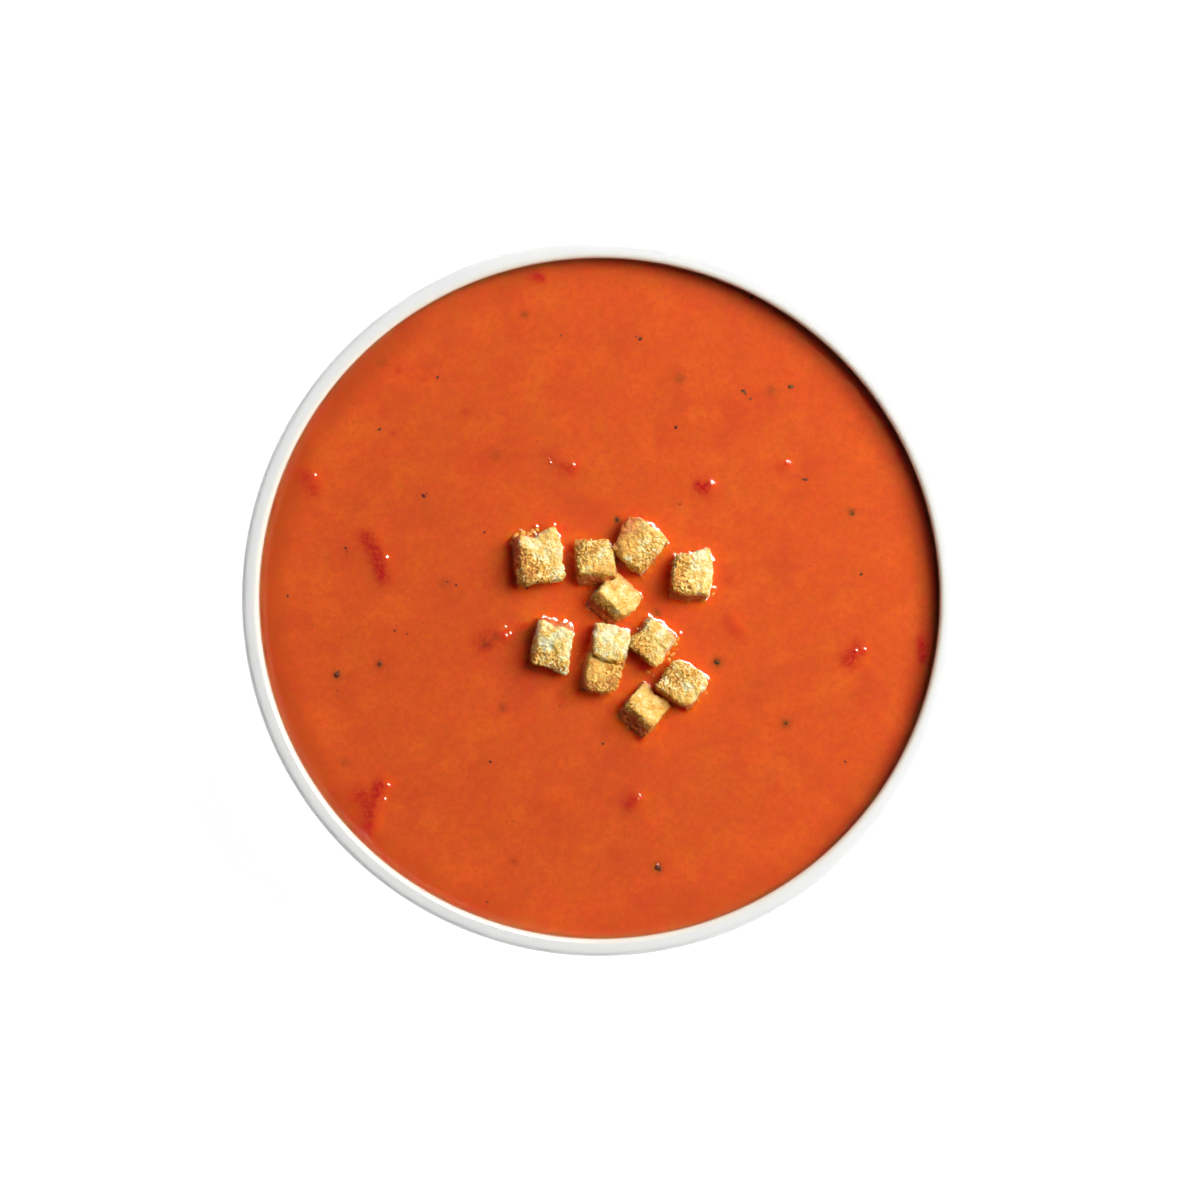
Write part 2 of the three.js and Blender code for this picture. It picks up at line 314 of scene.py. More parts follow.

# ------------------------------------------------------------------------------------ the croutons
# Eleven cubes of white bread, toasted in oil. The cut faces show the open crumb, some sides are browner,
# and the lower part has drunk soup; on the side away from the light, the browning and the soak colour are
# partly painted shade. Each is grown on a grid of small cells round its own solid: the skin is made lumpy,
# pores are sunk into it where the crumb is open, and the cells that are full become mesh.

GRAIN = 0.15 * MM  # the grid's cell
LUMP_SIZE = 3.2 * MM
LUMP_HEIGHT = 1.3 * MM
DENT_SIZE = 1.2 * MM
DENT_DEPTH = 1.2 * MM
SWOLLEN = 0.16 * MM  # how far the crumb stands proud of the plain skin before it is made uneven
PORE_SIZE = 0.62 * MM
PORE_DEPTH = 0.45 * MM
BUBBLE_SPACING = 2.1 * MM
BUBBLE_BEND = 0.9 * MM
LARGEST_BUBBLE = 0.7 * MM
SLIVER = 0.25 * MM  # corners of the plain skin that are nearer than this become one
SUNK_SMOOTH = 1.2 * MM  # below this depth in the soup, the crumb is full and has no open pores

# For each crouton: how brown it is, the side that is browner, the side whose crumb is open, how open the
# rest is, and the side that is wet. The sides are directions whose length is their strength. Where the
# browner or wet side faces away from the light, its colour is partly painted shade.
CROUTON_LOOKS = [
    (0.18, (-0.4, -0.35, 0.0), (-0.5, -0.8, 0.1), 0.30, (-1.2, 0.3, 0.0)),
    (0.30, (-0.1, -0.4, 0.0), (-0.6, 0.6, 0.1), 0.25, (-0.3, -1.1, 0.0)),
    (0.28, (-0.5, 0.35, 0.0), (0.5, -0.7, 0.2), 0.25, (-0.7, 0.5, 0.0)),
    (0.16, (-0.3, -0.3, 0.0), (-1.0, 0.3, 0.2), 0.30, (-0.5, -1.0, 0.0)),
    (0.32, (-0.2, -0.2, 0.0), (-0.8, -0.7, -0.2), 0.20, (-0.5, -0.5, 0.0)),
    (0.02, (-0.3, -0.3, 0.0), (-0.3, -1.0, 0.0), 0.15, (0.5, 0.9, -0.1)),
    (0.04, (0.0, -0.3, 0.0), (0.0, -0.2, 0.0), 0.05, (-0.8, -0.2, 0.0)),
    (0.44, (-0.4, 0.1, 0.0), (0.6, -0.5, 0.2), 0.30, (-0.7, -0.4, 0.0)),
    (0.22, (-0.4, -0.2, 0.0), (-0.9, -0.1, 0.2), 0.35, (0.6, -0.3, 0.0)),
    (0.20, (-0.1, -0.3, 0.0), (-0.3, 0.4, 0.2), 0.35, (-0.6, -0.7, 0.0)),
    (0.46, (-0.2, -0.2, 0.0), (-0.7, -0.6, 0.0), 0.30, (-0.5, -0.7, 0.0)),
]


def geometry_tree(name, **inputs):
    """A Geometry Nodes tree, and its inputs by name. Each named input is given its type of socket."""
    tree = bpy.data.node_groups.new(name, "GeometryNodeTree")
    tree.interface.new_socket("Geometry", in_out="INPUT", socket_type="NodeSocketGeometry")
    for label, kind in inputs.items():
        tree.interface.new_socket(label, in_out="INPUT", socket_type="NodeSocket" + kind)
    tree.interface.new_socket("Geometry", in_out="OUTPUT", socket_type="NodeSocketGeometry")
    given = add(tree, "NodeGroupInput").outputs
    return tree, {label: Field(tree, given[label]) for label in ("Geometry", *inputs)}


def close_tree(tree, geometry, material):
    """Ends a tree: makes instances real, sets the material, and gives the geometry out."""
    real = add(tree, "GeometryNodeRealizeInstances", {"Geometry": geometry}).outputs[0]
    smooth = add(tree, "GeometryNodeSetShadeSmooth", {"Geometry": real}).outputs[0]
    dressed = add(tree, "GeometryNodeSetMaterial", {"Geometry": smooth, "Material": material})
    join(tree, add(tree, "NodeGroupOutput").inputs["Geometry"], dressed.outputs[0])


def stored(tree, geometry, name, value):
    inputs = {"Geometry": geometry, "Name": name, "Value": value}
    return add(tree, "GeometryNodeStoreNamedAttribute", inputs).outputs[0]


def grown_mesh(mesh, tree, **values):
    """Runs a tree on a mesh with those inputs, and returns the result as a plain mesh."""
    carrier = bpy.data.objects.new(mesh.name, mesh)
    bpy.context.scene.collection.objects.link(carrier)
    modifier = carrier.modifiers.new(tree.name, "NODES")
    modifier.node_group = tree
    for item in tree.interface.items_tree:
        if item.in_out == "INPUT" and item.name in values:
            modifier[item.identifier] = values[item.name]
    graph = bpy.context.evaluated_depsgraph_get()
    result = bpy.data.meshes.new_from_object(carrier.evaluated_get(graph), depsgraph=graph)
    bpy.data.objects.remove(carrier)
    result.name = mesh.name
    return result


def vector(tree, operation, first, second, output="Vector"):
    node = add(tree, "ShaderNodeVectorMath", operation=operation)
    join(tree, node.inputs[0], first)
    join(tree, node.inputs[1], second)
    return node.outputs[output]


def stirring(tree, where, size):
    """A direction that varies through space, up to half a unit each way."""
    clouds = add(tree, "ShaderNodeTexNoise", {"Vector": where, "Scale": 1 / size}).outputs["Color"]
    return vector(tree, "SUBTRACT", clouds, (0.5,) * 3)


def facing_side(tree, outwards, side):
    """How squarely a place on the crouton faces a side, times that side's strength."""
    return Field(tree, vector(tree, "DOT_PRODUCT", outwards, side, "Value"))


def crumb_tree():
    """Grows toasted crumb round a plain closed mesh."""
    tree, given = geometry_tree(
        "Toasted crumb", Grain="Float", Toast="Float", Browned="Vector", Open="Vector", Rest="Float",
        Wet="Vector", Waterline="Float", Finish="Material",
    )
    rounding = {"Mesh": given["Geometry"], "Level": 2, "Edge Crease": 0.5}
    skin = add(tree, "GeometryNodeSubdivisionSurface", rounding).outputs[0]
    skin = add(tree, "GeometryNodeSetShadeSmooth", {"Geometry": skin}).outputs[0]
    where = add(tree, "GeometryNodeInputPosition").outputs[0]
    box = add(tree, "GeometryNodeBoundBox", {"Geometry": skin})
    both_corners = vector(tree, "ADD", box.outputs["Min"], box.outputs["Max"])
    middle = vector(tree, "MULTIPLY", both_corners, (0.5,) * 3)
    outwards = vector(tree, "NORMALIZE", vector(tree, "SUBTRACT", where, middle), (0, 0, 0))

    # Depth below the plain skin: negative outside it.
    near = add(tree, "GeometryNodeProximity", {"Geometry": skin, "Sample Position": where})
    facing = add(tree, "GeometryNodeSampleNearestSurface", data_type="FLOAT_VECTOR")
    join(tree, facing.inputs["Mesh"], skin)
    join(tree, facing.inputs["Value"], add(tree, "GeometryNodeInputNormal").outputs["Normal"])
    join(tree, facing.inputs["Sample Position"], where)
    away = vector(tree, "SUBTRACT", where, near.outputs["Position"])
    side = Field(tree, vector(tree, "DOT_PRODUCT", away, facing.outputs["Value"], "Value")).math("SIGN")
    plain_depth = side * Field(tree, near.outputs["Distance"]) * -1
    lumps = ripple(tree, where, LUMP_SIZE) * LUMP_HEIGHT + ripple(tree, where, DENT_SIZE) * DENT_DEPTH
    depth = plain_depth + lumps + SWOLLEN

    # Where the crumb is open it has crooked pits and a coarse grain, and elsewhere a fine grain. Here and
    # there is a round bubble of the dough.
    facing_open = facing_side(tree, outwards, given["Open"])
    patch = ripple(tree, where, 3.5 * MM) * 1.4
    above = parts(tree, where)[2] - given["Waterline"]
    dry = above.ramp(-SUNK_SMOOTH, -SUNK_SMOOTH + 0.6 * MM)
    openness = (facing_open + patch + given["Rest"]).ramp(0.0, 0.9) * dry
    grit = ripple(tree, where, 0.44 * MM) * (openness * 0.35 + 0.55) * MM
    crooked = noise(tree, where, PORE_SIZE, 2.5)
    pit_edge = openness * 0.17 + 0.40
    pit = crooked.ramp(pit_edge, pit_edge - 0.18) * (openness * 0.7 + 0.3) * PORE_DEPTH * dry
    shift = vector(tree, "MULTIPLY", stirring(tree, where, BUBBLE_BEND), (BUBBLE_BEND,) * 3)
    bent = vector(tree, "ADD", where, shift)
    chance = parts(tree, cells(tree, bent, BUBBLE_SPACING, "Color"))[0]
    bubble_radius = chance.ramp(0.55, 1.0, 0, LARGEST_BUBBLE) * (openness * 0.8 + 0.2) * dry
    bubble = Field(tree, cells(tree, bent, BUBBLE_SPACING)) * BUBBLE_SPACING - bubble_radius
    full = bubble.math("MAXIMUM", depth - PORE_DEPTH)
    bread = (depth + grit - pit).math("SMOOTH_MIN", full, 0.08 * MM)

    # The grid, and the mesh round its full cells. Loose bits and closed bubbles are taken away.
    margin = (0.9 * MM,) * 3
    low = vector(tree, "SUBTRACT", box.outputs["Min"], margin)
    high = vector(tree, "ADD", box.outputs["Max"], margin)
    sides = parts(tree, vector(tree, "SUBTRACT", high, low))
    share = bread.math("DIVIDE", given["Grain"]) * 0.3 + 0.5
    share = share.math("MAXIMUM", 0).math("MINIMUM", 1)
    grid = add(tree, "GeometryNodeVolumeCube", {"Density": share, "Min": low, "Max": high})
    for axis, side in zip("XYZ", sides):
        join(tree, grid.inputs["Resolution " + axis], side.math("DIVIDE", given["Grain"]).math("CEIL"))
    crumb = add(tree, "GeometryNodeVolumeToMesh", {"Volume": grid.outputs[0], "Threshold": 0.5}).outputs[0]
    island = add(tree, "GeometryNodeInputMeshIsland").outputs["Island Index"]
    count = add(tree, "GeometryNodeAccumulateField", {"Value": 1.0, "Group ID": island}).outputs["Total"]
    counted = add(tree, "GeometryNodeAttributeStatistic", {"Geometry": crumb, "Attribute": count})
    loose = Field(tree, count).math("LESS_THAN", counted.outputs["Max"])
    whole = add(tree, "GeometryNodeDeleteGeometry", {"Geometry": crumb, "Selection": loose}).outputs[0]

    # The browned side faces away from the light on most croutons: the toast attribute is toast and painted
    # shade.
    facing_browned_and_shaded = facing_side(tree, outwards, given["Browned"]).math("MAXIMUM", 0)
    # The wet side mostly faces away from the light too: its soak colour is soak and painted shade.
    facing_soak_and_shade = facing_side(tree, outwards, given["Wet"]).math("MAXIMUM", 0)
    dressed = stored(tree, whole, "pore", (depth / PORE_DEPTH).ramp(-0.3, 0.75))
    dressed = stored(tree, dressed, "toast", given["Toast"] + facing_browned_and_shaded)
    dressed = stored(tree, dressed, "wet", facing_soak_and_shade)
    close_tree(tree, dressed, given["Finish"])
    return tree


CREAM = (0.83, 0.755, 0.46)
STRAW = (0.79, 0.575, 0.17)
GOLDEN = (0.74, 0.40, 0.06)
BROWN = (0.50, 0.21, 0.03)
SOAKED = (0.64, 0.15, 0.028)
SOAKED_DARK = (0.42, 0.06, 0.03)
SOAK_HEIGHT = 1.8 * MM  # how far up the soup has crept in the crumb
SOAK_REACH = 4.5 * MM  # further up on the wettest side; away from the light, partly painted shade


def attribute(tree, name):
    return Field(tree, add(tree, "ShaderNodeAttribute", attribute_name=name).outputs["Fac"])


def bread_material():
    material, tree, shader, where = new_material(
        "toasted bread", Subsurface_Weight=1.0, Subsurface_Radius=(1.0, 0.75, 0.4),
        Subsurface_Scale=0.7 * MM, Specular_IOR_Level=0.3,
    )
    fine = ripple(tree, where, 0.42 * MM, 3)
    patch = ripple(tree, where, 2.4 * MM, 3)
    # The pore attribute paints the pits darker and browner, as painted shade in them.
    shade = attribute(tree, "toast") + attribute(tree, "pore") * 0.7 + fine * 0.9 + patch * 1.9 - 0.15
    scale = add(tree, "ShaderNodeValToRGB", {"Fac": shade})
    stops = scale.color_ramp.elements
    for place, colour in ((0.24, STRAW), (0.58, GOLDEN)):
        stops.new(place).color = (*colour, 1)
    stops[0].color = (*CREAM, 1)
    stops[-1].color = (*BROWN, 1)
    # The soup has crept up, unevenly, most on the wet side; away from the light that is partly painted
    # shade.
    height, _ = place_of(tree, where)
    above = height + ripple(tree, where, 1.4 * MM, 3) * (2.6 * MM) - soup_level
    wet = (above - attribute(tree, "wet") * SOAK_REACH).ramp(SOAK_HEIGHT * 0.5, SOAK_HEIGHT * 2, 1, 0)
    soaked = blend(tree, above.ramp(-0.2 * MM, SOAK_HEIGHT, 0.8, 0), SOAKED, SOAKED_DARK)
    join(tree, shader.inputs["Base Color"], blend(tree, wet * 0.9, scale.outputs["Color"], soaked))
    join(tree, shader.inputs["Roughness"], wet.ramp(0, 1, 0.75, 0.42))
    bump(tree, shader, fine, 0.1 * MM)
    return material


def merged_copy(name, node, apart=0.001 * MM):
    """A CAD node's mesh as one closed skin, with corners nearer than that made one."""
    skin = bmesh.new()
    skin.from_mesh(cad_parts[node].data)
    bmesh.ops.remove_doubles(skin, verts=skin.verts, dist=apart)
    mesh = bpy.data.meshes.new(name)
    skin.to_mesh(mesh)
    skin.free()
    return mesh


toasted_crumb = crumb_tree()
bread = bread_material()
croutons = []
for number, (toast, browned_and_shaded, open_side, rest, wet) in enumerate(CROUTON_LOOKS, start=1):
    node = f"crouton_{number:02d}"
    mesh = grown_mesh(
        merged_copy("toasted_" + node, node, SLIVER), toasted_crumb, Grain=GRAIN, Toast=toast,
        Browned=browned_and_shaded, Open=open_side, Rest=rest, Wet=wet, Waterline=soup_level, Finish=bread,
    )
    croutons.append(new_piece("toasted_" + node, mesh, node, slot="bread"))

# ---------------------------------------------------------------------------------------- the soup
# Creamy tomato soup, thick and glossy. It lies in low soft waves, falls off a little towards the wall, and
# climbs the croutons in a small curved edge. Pieces of tomato lie just under the skin and lift it, and where
# they are near, their red shows through. Its top is a sheet of triangles, small where the shape is fine.

WALL_DROP = 0.55 * MM  # how much lower the soup lies at the wall
WALL_REACH = 9 * MM
SOUP_STEPS = 360
SOUP_RINGS = 9  # rings of corners beside the wall
RING_ZONE = 3.4 * MM
COARSE = 0.9 * MM
BREAD_RISE = 0.55 * MM
BREAD_RISE_REACH = 0.6 * MM
WAVE_HEIGHT = 0.14 * MM
SIDE_SLACK = 0.05 * MM  # between the soup's hidden side and the bowl
SIDE_STEPS = 13
HOLLOW_OVERLAP = 0.35 * MM  # how much smaller the hollows are than the croutons' plain skins
OIL_AND_GLOW_REACH = 1.5 * MM  # how far the oil and the painted glow round the bread reach

SWELL = 0.42  # share of a tomato piece's thickness that lifts the skin
STAIN_SPREAD = 1.7  # how much wider its soft swell and stain are than the piece

# Pieces of tomato under the skin, as strokes: how thick each is and its half width in millimetres, how much
# of its red shows, and the places along it in millimetres.
TOMATO_STROKES = [
    (0.7, 1.3, 1.0, [(-54.8, 14.6), (-53.1, 12.0), (-52.2, 9.2), (-51.2, 5.6)]),
    (0.6, 1.5, 0.9, [(-56.5, -46.6), (-55.3, -47.7), (-54.1, -49.1)]),
    (1.0, 1.2, 1.0, [(-51.9, -44.6), (-53.2, -47.0), (-54.1, -49.1)]),
    (0.8, 1.1, 1.0, [(-54.1, -49.1), (-54.3, -51.5), (-54.8, -55.1)]),
    (0.35, 1.2, 0.6, [(-28.2, -9.9), (-26.5, -8.2), (-24.6, -7.7)]),
    (0.55, 0.9, 0.4, [(-24.6, -7.7), (-22.9, -9.2)]),
    (0.35, 1.0, 0.7, [(-27.4, -11.6), (-25.5, -10.6)]),
    (0.5, 1.3, 0.7, [(-69.8, 29.6), (-68.6, 27.7), (-67.6, 25.8)]),
    (0.4, 1.1, 0.3, [(-10.3, 33.6), (-8.9, 32.7)]),
    (0.5, 1.0, 0.7, [(-7.8, 31.8), (-6.6, 31.2)]),
    (0.5, 0.8, 1.0, [(-14.6, 77.2), (-13.4, 76.7)]),
    (0.7, 0.9, 1.0, [(23.9, 27.2), (25.3, 26.0), (26.1, 27.5)]),
    (0.5, 1.2, 1.0, [(59.6, -14.6), (61.0, -12.9)]),
    (0.4, 1.0, 0.7, [(62.0, -11.0), (62.6, -12.6)]),
    (0.4, 0.9, 0.5, [(60.4, -16.0), (62.4, -15.4)]),
    (0.5, 0.8, 1.0, [(77.2, -10.3), (77.4, -12.5), (77.7, -14.4)]),
    (0.5, 1.0, 0.4, [(31.3, -5.1), (32.5, -6.8), (33.7, -8.0)]),
    (0.9, 1.1, 0.8, [(7.6, -49.2), (8.9, -47.6)]),
    (0.35, 1.3, 0.25, [(-13.4, -49.3), (-11.5, -48.6), (-9.6, -48.2)]),
    (0.5, 0.8, 0.4, [(43.3, 31.6), (44.4, 31.9)]),
    (0.6, 0.7, 0.2, [(11.6, -17.6), (12.6, -18.0)]),
]

# Small bubbles and beads in the skin, as low domes: the place and the half width, in millimetres.
BEAD_FULLNESS = 0.5  # a bead's height for its half width
BEADS = [
    (-19.0, 15.9, 0.50), (-15.2, 17.0, 0.50), (-8.9, 11.9, 0.45), (-10.9, 17.4, 0.45), (16.5, -15.6, 0.40),
    (27.3, 2.4, 0.45), (25.3, 11.7, 0.40), (44.8, 32.2, 0.45), (19.2, -8.5, 0.50), (-6.4, 31.7, 0.40),
    (-11.7, 32.3, 0.35), (-50.7, 9.6, 0.42), (-38.7, 52.5, 0.34), (-12.1, 33.2, 0.30), (9.35, -47.0, 0.36),
    (9.0, -47.8, 0.40), (-50.3, -44.6, 0.32), (-51.2, -47.9, 0.38), (13.8, -63.6, 0.34), (-22.4, -6.8, 0.30),
    (-21.4, -8.4, 0.32), (-22.2, -9.0, 0.30), (63.3, -12.3, 0.34), (61.1, -12.5, 0.30), (26.8, 27.3, 0.40),
    (-67.9, 29.3, 0.32),
]

# Flakes and shreds that have sunk: the place and the half width in millimetres, and how much they show.
SUNK_HERBS = [
    (60.1, 20.6, 0.9, 0.75), (4.2, 18.6, 0.9, 0.8), (-27.0, -10.8, 1.2, 0.5), (-24.8, -9.4, 1.0, 0.4),
    (28.2, -15.2, 1.2, 0.7), (-62.6, -18.3, 1.1, 0.6), (-52.4, -15.7, 0.9, 0.6), (13.9, -64.2, 1.2, 0.6),
    (19.2, 52.4, 1.1, 0.45), (44.4, -29.8, 1.2, 0.6), (-23.2, -26.0, 1.1, 0.45), (-17.9, 67.7, 0.9, 0.5),
    (13.7, -3.4, 1.0, 0.6), (-20.3, -62.7, 1.0, 0.35), (-60.7, -39.1, 1.0, 0.35), (41.0, 49.6, 1.2, 0.35),
    (-24.7, 34.0, 1.3, 0.3), (-51.8, 56.4, 1.2, 0.3), (-37.4, 3.6, 1.2, 0.3),
]
SUNK_TOMATO = [
    (30.8, 4.4, 1.3, 0.4), (-31.7, 44.3, 1.6, 0.45), (-47.9, 54.3, 0.9, 0.5), (-41.7, 52.4, 0.7, 0.5),
    (-49.1, 39.4, 0.8, 0.5),
]


def stroke_points(along, spacing=0.25):
    """Close places along a stroke, in metres."""
    along = np.array(along, float)
    pieces = []
    for start, end in zip(along[:-1], along[1:]):
        count = max(2, int(np.linalg.norm(end - start) / spacing))
        pieces.append(start + (end - start) * np.linspace(0, 1, count)[:, None])
    return np.concatenate(pieces) * MM


def nearness(places, centres, width):
    """From 1 on the nearest centre to 0 far from all of them, for each place."""
    nearest = np.full(len(places), np.inf)
    for centre in centres:
        nearest = np.minimum(nearest, ((places - centre) ** 2).sum(1))
    return np.exp(-nearest / width**2)


def graded_places(half_side, largest, spacing_at):
    """The middles of squares that are halved until they are as small as is asked at their place."""
    side = largest
    steps = np.arange(-half_side, half_side, side) + side / 2
    squares = np.stack(np.meshgrid(steps, steps), -1).reshape(-1, 2)
    kept = []
    while len(squares):
        too_large = spacing_at(squares, side) < side * 0.8
        kept.append(squares[~too_large])
        quarter = np.array([(-1, -1), (1, -1), (-1, 1), (1, 1)]) * side / 4
        squares = (squares[too_large][:, None, :] + quarter).reshape(-1, 2)
        side /= 2
    return np.concatenate(kept)


# Where the bread meets the soup's level.
waterline = []
for crouton in croutons:
    places = np.empty(len(crouton.data.vertices) * 3)
    crouton.data.vertices.foreach_get("co", places)
    places = places.reshape(-1, 3)
    waterline.append(places[abs(places[:, 2] - soup_level) < 0.25 * MM, :2])
waterline = np.concatenate(waterline)
waterline_tree = KDTree(len(waterline))
for index, place in enumerate(waterline):
    waterline_tree.insert((*place, 0), index)
waterline_tree.balance()

# What needs small triangles: its places, how far round them, and how far apart the corners may be there.
fine_places = [(stroke_points(along), width * 2.4 * MM, 0.5 * MM) for _, width, _, along in TOMATO_STROKES]
fine_places += [(np.array([(x, y)]) * MM, 2.6 * width * MM, 0.11 * MM) for x, y, width in BEADS]
for x, y, width, _ in SUNK_HERBS + SUNK_TOMATO:
    fine_places.append((np.array([(x, y)]) * MM, 2 * width * MM, 0.35 * MM))


def soup_spacing(squares, side):
    """How far apart the soup's corners may be round each square's middle."""
    spacing = np.full(len(squares), COARSE)
    for centres, reach, fine in fine_places:
        near = np.abs(squares - centres.mean(0)).max(1) < reach + side + np.ptp(centres, axis=0).max()
        if near.any():
            apart = np.sqrt(((squares[near][:, None] - centres) ** 2).sum(-1)).min(1)
            spacing[near] = np.minimum(spacing[near], np.where(apart < reach + side * 0.7, fine, COARSE))
    for index, square in enumerate(squares):
        apart = waterline_tree.find((*square, 0))[2] - side * 0.7
        if apart < 1.0 * MM:
            spacing[index] = 0.2 * MM
        elif apart < 3 * MM:
            spacing[index] = min(spacing[index], 0.4 * MM)
    return spacing


def soup_base():
    """The soup as a closed mesh with a level top, fine where it will be shaped."""
    edge_height = soup_level - WALL_DROP
    edge_share = share_at_height(inner_depth, edge_height)
    edge_radius = wall_point(inner_radius, inner_depth, edge_share).x + SIDE_SLACK / 2
    angles = np.arange(SOUP_STEPS) * math.tau / SOUP_STEPS
    circle = np.stack([np.cos(angles), np.sin(angles)], -1)
    ring_radii = edge_radius - RING_ZONE * np.linspace(0, 1, SOUP_RINGS) ** 1.7
    rings = np.concatenate([circle * radius for radius in ring_radii])
    places = graded_places(80 * MM, 3.2 * MM, soup_spacing)
    places = places[np.hypot(*places.T) < ring_radii[-1] - 0.6 * MM]
    flat = [Vector(place) for place in np.concatenate([rings, places])]
    top, _, faces, *_ = delaunay_2d_cdt(flat, [], [], 0, 1e-7, True)
    corners = [(x, y, soup_level) for x, y in top]
    start = share_at_height(inner_depth, edge_height - 0.6 * MM)
    side = wall(inner_radius - SIDE_SLACK, inner_depth - SIDE_SLACK, start, 1, SIDE_STEPS)
    above = list(range(SOUP_STEPS))
    for point in side[:-1]:
        below = list(range(len(corners), len(corners) + SOUP_STEPS))
        corners += [(x * point.x, y * point.x, point.y) for x, y in circle]
        for i in range(SOUP_STEPS):
            j = (i + 1) % SOUP_STEPS
            faces.append((above[i], below[i], below[j], above[j]))
        above = below
    corners.append((0, 0, side[-1].y))
    for i in range(SOUP_STEPS):
        faces.append((above[i], len(corners) - 1, above[(i + 1) % SOUP_STEPS]))
    mesh = bpy.data.meshes.new("tomato_soup")
    mesh.from_pydata(corners, [], faces)
    return mesh


def cut_for_croutons(mesh):
    """Hollows in the soup where the croutons sit, a little smaller than their plain skins."""
    cutters = bmesh.new()
    for number in range(1, len(CROUTON_LOOKS) + 1):
        skin = merged_copy("hollow", f"crouton_{number:02d}")
        skin.update()
        for corner in skin.vertices:
            corner.co -= Vector(corner.normal) * HOLLOW_OVERLAP
        cutters.from_mesh(skin)
    shape = bpy.data.meshes.new("hollows")
    cutters.to_mesh(shape)
    cutters.free()
    cutter = bpy.data.objects.new("hollows", shape)
    carrier = bpy.data.objects.new("soup_with_hollows", mesh)
    for item in (cutter, carrier):
        bpy.context.scene.collection.objects.link(item)
    cut = carrier.modifiers.new("hollows", "BOOLEAN")
    cut.operation = "DIFFERENCE"
    cut.solver = "MANIFOLD"
    cut.object = cutter
    graph = bpy.context.evaluated_depsgraph_get()
    result = bpy.data.meshes.new_from_object(carrier.evaluated_get(graph), depsgraph=graph)
    bpy.data.objects.remove(carrier)
    bpy.data.objects.remove(cutter)
    result.name = mesh.name
    return result


def set_attribute(mesh, name, values, kind="FLOAT"):
    attribute = mesh.attributes.new(name, kind, "POINT")
    attribute.data.foreach_set("vector" if kind == "FLOAT_VECTOR" else "value", np.ravel(values))


def soup_tree():
    """Shapes the soup's level top: waves, the fall at the wall, the raised edge at the bread, and what the
    attribute "lift" adds."""
    lengths = ("Bread rise", "Bread reach", "Wall radius", "Wall drop", "Wall reach", "Wave height")
    lengths = dict.fromkeys(lengths, "Float")
    tree, given = geometry_tree("Soup surface", Bread="Object", **lengths, Finish="Material")
    where = add(tree, "GeometryNodeInputPosition").outputs[0]
    height, radius = place_of(tree, where)
    top = height.ramp(soup_level - 0.02 * MM, soup_level - 0.01 * MM)
    bread_mesh = add(tree, "GeometryNodeObjectInfo", {"Object": given["Bread"]}).outputs["Geometry"]
    near = add(tree, "GeometryNodeProximity", {"Geometry": bread_mesh, "Sample Position": where})
    apart = Field(tree, near.outputs["Distance"])
    uneven = noise(tree, where, 2.5 * MM).ramp(0.3, 0.7, 0.55, 1.25)
    climb = (apart.math("DIVIDE", given["Bread reach"]) * -1).math("EXPONENT") * given["Bread rise"] * uneven
    edge = ((radius - given["Wall radius"]).math("DIVIDE", given["Wall reach"]) + 1).math("MAXIMUM", 0)
    fall = edge * edge * edge * given["Wall drop"]
    waves = ripple(tree, where, 11 * MM) + ripple(tree, where, 3.4 * MM) * 0.28
    waves = waves + ripple(tree, where, 1.0 * MM) * 0.05
    lift = Field(tree, add(tree, "GeometryNodeInputNamedAttribute", {"Name": "lift"}).outputs[0])
    wrinkles = noise(tree, where, 1.1 * MM, 2).ramp(0.3, 0.7, 0.88, 1.12)
    rise = (climb - fall + waves * given["Wave height"] + lift * wrinkles) * top
    offset = add(tree, "ShaderNodeCombineXYZ", {"Z": rise}).outputs[0]
    marked = stored(tree, given["Geometry"], "beside_bread", (apart * -1 / OIL_AND_GLOW_REACH).math("EXPONENT"))
    shaped = add(tree, "GeometryNodeSetPosition", {"Geometry": marked, "Offset": offset}).outputs[0]
    close_tree(tree, shaped, given["Finish"])
    return tree


SOUP = (0.73, 0.115, 0.0200)
SOUP_LIGHT = (0.785, 0.140, 0.0200)
SOUP_DARK = (0.64, 0.087, 0.0205)
# Bright orange oil, also used as a painted glow of light round the bread and on the tomato pieces' lit side.
SOUP_OIL_AND_GLOW = (0.95, 0.155, 0.008)
WALL_PAINTED_SHADE = (0.46, 0.070, 0.012)
SOUP_EDGE = (0.52, 0.12, 0.028)
TOMATO_RED = (0.50, 0.020, 0.014)
SPECK_RED = (0.36, 0.030, 0.014)
SUNK_HERB = (0.17, 0.042, 0.012)
# Specks in the soup, in three sizes: how far apart they may lie, how large one may be as a share of that,
# the share of places without one, and how much they show.
SPECKS = [(3.4 * MM, 0.13, 0.4, 0.35), (2.4 * MM, 0.085, 0.45, 0.6), (1.2 * MM, 0.10, 0.7, 0.6)]


